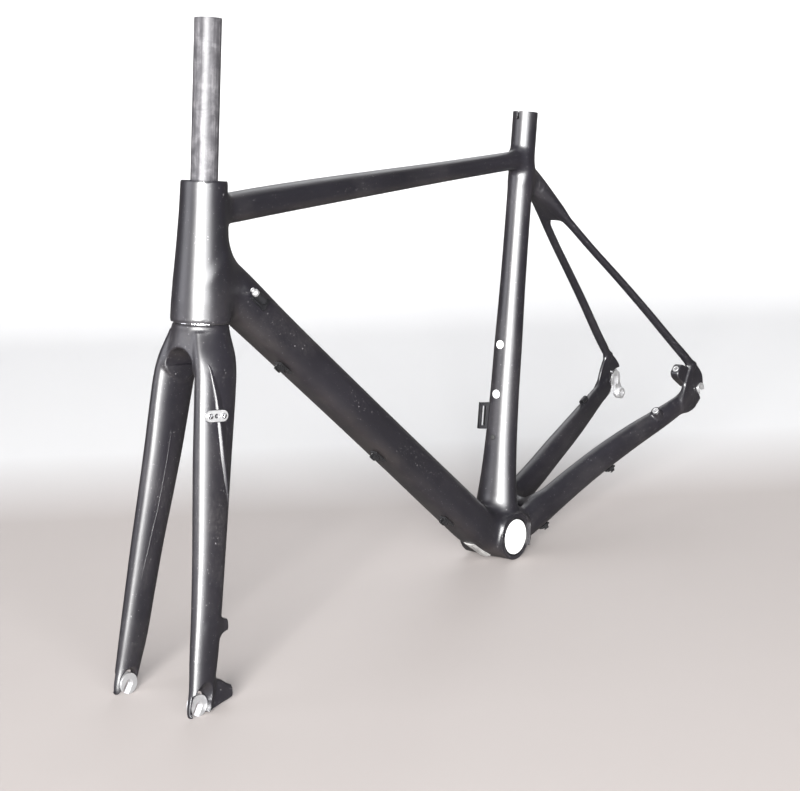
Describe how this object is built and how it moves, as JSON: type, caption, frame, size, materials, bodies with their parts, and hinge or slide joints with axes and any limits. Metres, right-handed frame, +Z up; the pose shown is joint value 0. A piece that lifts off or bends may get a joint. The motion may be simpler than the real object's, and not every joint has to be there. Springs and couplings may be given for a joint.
{
  "type": "bicycle frameset",
  "caption": "Diamond-shaped disc-brake bicycle frame in satin black carbon with a matching fork, tapered steering bearings, brake posts, cable fittings and a bare full-length steerer tube.",
  "frame": {"origin": "on the floor under the middle of the frameset's box, in the frame's centre plane; the frameset stands on both fork tips and the bottom bracket shell, and the centre of the bottom bracket is at (-0.089289, 0, 0.030032)", "axes": "+X forward, +Y to the rider's left, +Z up; the riding attitude is reached by turning the frameset 7.93 degrees nose-up about Y"},
  "size_m": [1.0386, 0.152, 0.7067],
  "materials": {
    "satin_carbon": "clear-coated black carbon composite, satin, lightly scuffed",
    "raw_carbon": "bare sanded carbon, mottled grey",
    "bare_aluminium": "machined",
    "black_aluminium": "black anodised",
    "bright_steel": "polished",
    "white_plastic": "moulded satin",
    "black_plastic": "moulded satin",
    "black_rubber": "soft matt"
  },
  "bodies": {
    "frame": {"head_tube": "satin_carbon", "lower_outer_race": "bright_steel", "upper_outer_race": "bright_steel", "bottom_bracket_shell": "satin_carbon", "bottom_bracket_sleeve": "black_aluminium", "bottom_bracket_cap_left": "white_plastic", "bottom_bracket_cap_right": "white_plastic", "top_tube": "satin_carbon", "seatstay_wishbone": "satin_carbon", "seatstay_left": "satin_carbon", "seatstay_right": "satin_carbon", "chainstay_left": "satin_carbon", "chainstay_right": "satin_carbon", "rear_end_left": "satin_carbon", "axle_seat_left": "bare_aluminium", "derailleur_hanger": "bare_aluminium", "hanger_screw_1": "bright_steel", "hanger_screw_2": "bright_steel", "rear_end_right": "satin_carbon", "rear_post_insert_upper": "bare_aluminium", "rear_post_insert_lower": "bare_aluminium", "seat_bottle_boss_1": "bare_aluminium", "seat_boss_cap_1": "white_plastic", "seat_bottle_boss_2": "bare_aluminium", "seat_boss_cap_2": "white_plastic", "down_bottle_boss_1": "bare_aluminium", "down_boss_cap_1": "white_plastic", "down_bottle_boss_2": "bare_aluminium", "down_boss_cap_2": "white_plastic", "seat_tube_plug": "black_rubber", "front_derailleur_mount": "black_aluminium", "down_tube_hose_clip_1": "black_plastic", "down_tube_hose_clip_2": "black_plastic", "down_tube_hose_clip_3": "black_plastic", "chainstay_hose_clip_1": "black_plastic", "chainstay_hose_clip_2": "black_plastic", "cable_stop_left": "black_aluminium", "cable_stop_right": "black_aluminium", "chainstay_cable_stop": "black_aluminium", "cable_guide_plate": "white_plastic", "seat_tube": "satin_carbon", "down_tube": "satin_carbon"},
    "fork": {"steerer": "raw_carbon", "fork_crown": "satin_carbon", "fork_leg_left": "satin_carbon", "fork_leg_right": "satin_carbon", "fork_tip_left": "bare_aluminium", "fork_tip_right": "bare_aluminium", "front_post_insert_upper": "bare_aluminium", "front_post_insert_lower": "bare_aluminium", "hose_plate": "bare_aluminium", "hose_plate_screw_1": "bright_steel", "hose_plate_screw_2": "bright_steel", "lower_inner_race": "bright_steel", "upper_inner_race": "bright_steel", "compression_ring": "bare_aluminium"},
    "lower_balls": {"lower_ball_cage": "bright_steel"},
    "upper_balls": {"upper_ball_cage": "bright_steel"},
    "adjuster_left": {"barrel_adjuster_left": "bare_aluminium"},
    "adjuster_right": {"barrel_adjuster_right": "bare_aluminium"}
  },
  "joints": [
    {"name": "steering", "type": "hinge", "parent": "frame", "child": "fork", "pos_m": [0.41251, 0, 0.39383], "axis": [-0.1246, 0, 0.9922], "continuous": true},
    {"name": "lower_bearing_roll", "type": "hinge", "parent": "frame", "child": "lower_balls", "pos_m": [0.41175, 0, 0.39988], "axis": [-0.1246, 0, 0.9922], "continuous": true},
    {"name": "upper_bearing_roll", "type": "hinge", "parent": "frame", "child": "upper_balls", "pos_m": [0.39463, 0, 0.53621], "axis": [-0.1246, 0, 0.9922], "continuous": true},
    {"name": "shift_cable_adjuster_left", "type": "hinge", "parent": "frame", "child": "adjuster_left", "pos_m": [0.35753, 0.0304, 0.41846], "axis": [0.7466, 0, 0.6653], "continuous": true},
    {"name": "shift_cable_adjuster_right", "type": "hinge", "parent": "frame", "child": "adjuster_right", "pos_m": [0.35753, -0.0304, 0.41846], "axis": [0.7466, 0, 0.6653], "continuous": true}
  ],
  "couplings": [
    {"joint": "lower_bearing_roll", "follows": "steering", "ratio": 0.478},
    {"joint": "upper_bearing_roll", "follows": "steering", "ratio": 0.475}
  ]
}
